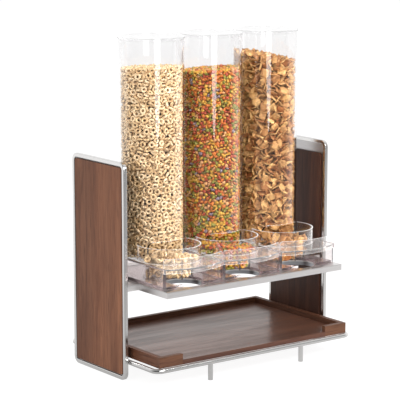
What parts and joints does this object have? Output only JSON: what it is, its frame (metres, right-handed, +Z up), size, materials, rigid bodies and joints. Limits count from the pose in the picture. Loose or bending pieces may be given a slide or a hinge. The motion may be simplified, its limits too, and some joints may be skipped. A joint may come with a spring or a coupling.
{
  "type": "cereal dispenser",
  "caption": "Countertop cereal dispenser: clear storage tubes over acrylic portion bins on a steel shelf, between chrome-framed walnut side panels, with a walnut tray below.",
  "frame": {"origin": "on the ground, under the centre of the base rod loop", "axes": "+Z up, +X to the right seen from the front, -Y towards the front where cereal comes out"},
  "size_m": [0.502, 0.303, 0.6501],
  "materials": {
    "chrome": "polished",
    "walnut": "satin walnut stain",
    "backing_steel": "brushed",
    "shelf_steel": "satin",
    "screw_steel": "bright",
    "clear_acrylic": "clear, polished"
  },
  "bodies": {
    "stand": {"side_frame_left": "chrome", "side_frame_right": "chrome", "base_loop": "chrome", "front_leg_left": "chrome", "front_leg_right": "chrome", "outer_panel_left": "walnut", "outer_panel_right": "walnut", "inner_panel_left": "walnut", "inner_panel_right": "walnut", "backing_plate_left": "backing_steel", "backing_plate_right": "backing_steel", "shelf": "shelf_steel", "shelf_rim": "shelf_steel", "outlet_collars": "shelf_steel", "shelf_screws": "screw_steel"},
    "tray": {"tray_board": "walnut", "tray_rail_back": "walnut", "tray_rail_left": "walnut", "tray_rail_right": "walnut", "tray_stub_left": "walnut", "tray_stub_right": "walnut"},
    "bin_1": {"bin_floor_1": "clear_acrylic", "bin_deck_1": "clear_acrylic", "bin_wall_left_1": "clear_acrylic", "bin_wall_right_1": "clear_acrylic", "bin_wall_back_1": "clear_acrylic", "bin_guard_1": "clear_acrylic", "cup_wall_1": "clear_acrylic", "tube_socket_1": "clear_acrylic", "wheel_housing_1": "clear_acrylic", "wheel_pin_1": "clear_acrylic"},
    "wheel_1": {"portion_wheel_1": "clear_acrylic"},
    "tube_1": {"storage_tube_1": "clear_acrylic"},
    "lid_body_1": {"lid_1": "clear_acrylic"},
    "bin_2": {"bin_floor_2": "clear_acrylic", "bin_deck_2": "clear_acrylic", "bin_wall_left_2": "clear_acrylic", "bin_wall_right_2": "clear_acrylic", "bin_wall_back_2": "clear_acrylic", "bin_guard_2": "clear_acrylic", "cup_wall_2": "clear_acrylic", "tube_socket_2": "clear_acrylic", "wheel_housing_2": "clear_acrylic", "wheel_pin_2": "clear_acrylic"},
    "wheel_2": {"portion_wheel_2": "clear_acrylic"},
    "tube_2": {"storage_tube_2": "clear_acrylic"},
    "lid_body_2": {"lid_2": "clear_acrylic"},
    "bin_3": {"bin_floor_3": "clear_acrylic", "bin_deck_3": "clear_acrylic", "bin_wall_left_3": "clear_acrylic", "bin_wall_right_3": "clear_acrylic", "bin_wall_back_3": "clear_acrylic", "bin_guard_3": "clear_acrylic", "cup_wall_3": "clear_acrylic", "tube_socket_3": "clear_acrylic", "wheel_housing_3": "clear_acrylic", "wheel_pin_3": "clear_acrylic"},
    "wheel_3": {"portion_wheel_3": "clear_acrylic"},
    "tube_3": {"storage_tube_3": "clear_acrylic"},
    "lid_body_3": {"lid_3": "clear_acrylic"}
  },
  "joints": [
    {"name": "tray_slide", "type": "slide", "parent": "stand", "child": "tray", "axis": [0, -1, 0], "range_m": [0, 0.25]},
    {"name": "bin_1_lift", "type": "slide", "parent": "stand", "child": "bin_1", "axis": [0, 0, 1], "range_m": [0, 0.12]},
    {"name": "wheel_1_turn", "type": "hinge", "parent": "bin_1", "child": "wheel_1", "pos_m": [-0.14, -0.0487, 0.2053], "axis": [0, 0, 1], "continuous": true},
    {"name": "tube_1_lift", "type": "slide", "parent": "bin_1", "child": "tube_1", "axis": [0, 0, 1], "range_m": [0, 0.3]},
    {"name": "lid_1_lift", "type": "slide", "parent": "tube_1", "child": "lid_body_1", "axis": [0, 0, 1], "range_m": [0, 0.08]},
    {"name": "bin_2_lift", "type": "slide", "parent": "stand", "child": "bin_2", "axis": [0, 0, 1], "range_m": [0, 0.12]},
    {"name": "wheel_2_turn", "type": "hinge", "parent": "bin_2", "child": "wheel_2", "pos_m": [0, -0.0487, 0.2053], "axis": [0, 0, 1], "continuous": true},
    {"name": "tube_2_lift", "type": "slide", "parent": "bin_2", "child": "tube_2", "axis": [0, 0, 1], "range_m": [0, 0.3]},
    {"name": "lid_2_lift", "type": "slide", "parent": "tube_2", "child": "lid_body_2", "axis": [0, 0, 1], "range_m": [0, 0.08]},
    {"name": "bin_3_lift", "type": "slide", "parent": "stand", "child": "bin_3", "axis": [0, 0, 1], "range_m": [0, 0.12]},
    {"name": "wheel_3_turn", "type": "hinge", "parent": "bin_3", "child": "wheel_3", "pos_m": [0.14, -0.0487, 0.2053], "axis": [0, 0, 1], "continuous": true},
    {"name": "tube_3_lift", "type": "slide", "parent": "bin_3", "child": "tube_3", "axis": [0, 0, 1], "range_m": [0, 0.3]},
    {"name": "lid_3_lift", "type": "slide", "parent": "tube_3", "child": "lid_body_3", "axis": [0, 0, 1], "range_m": [0, 0.08]}
  ]
}
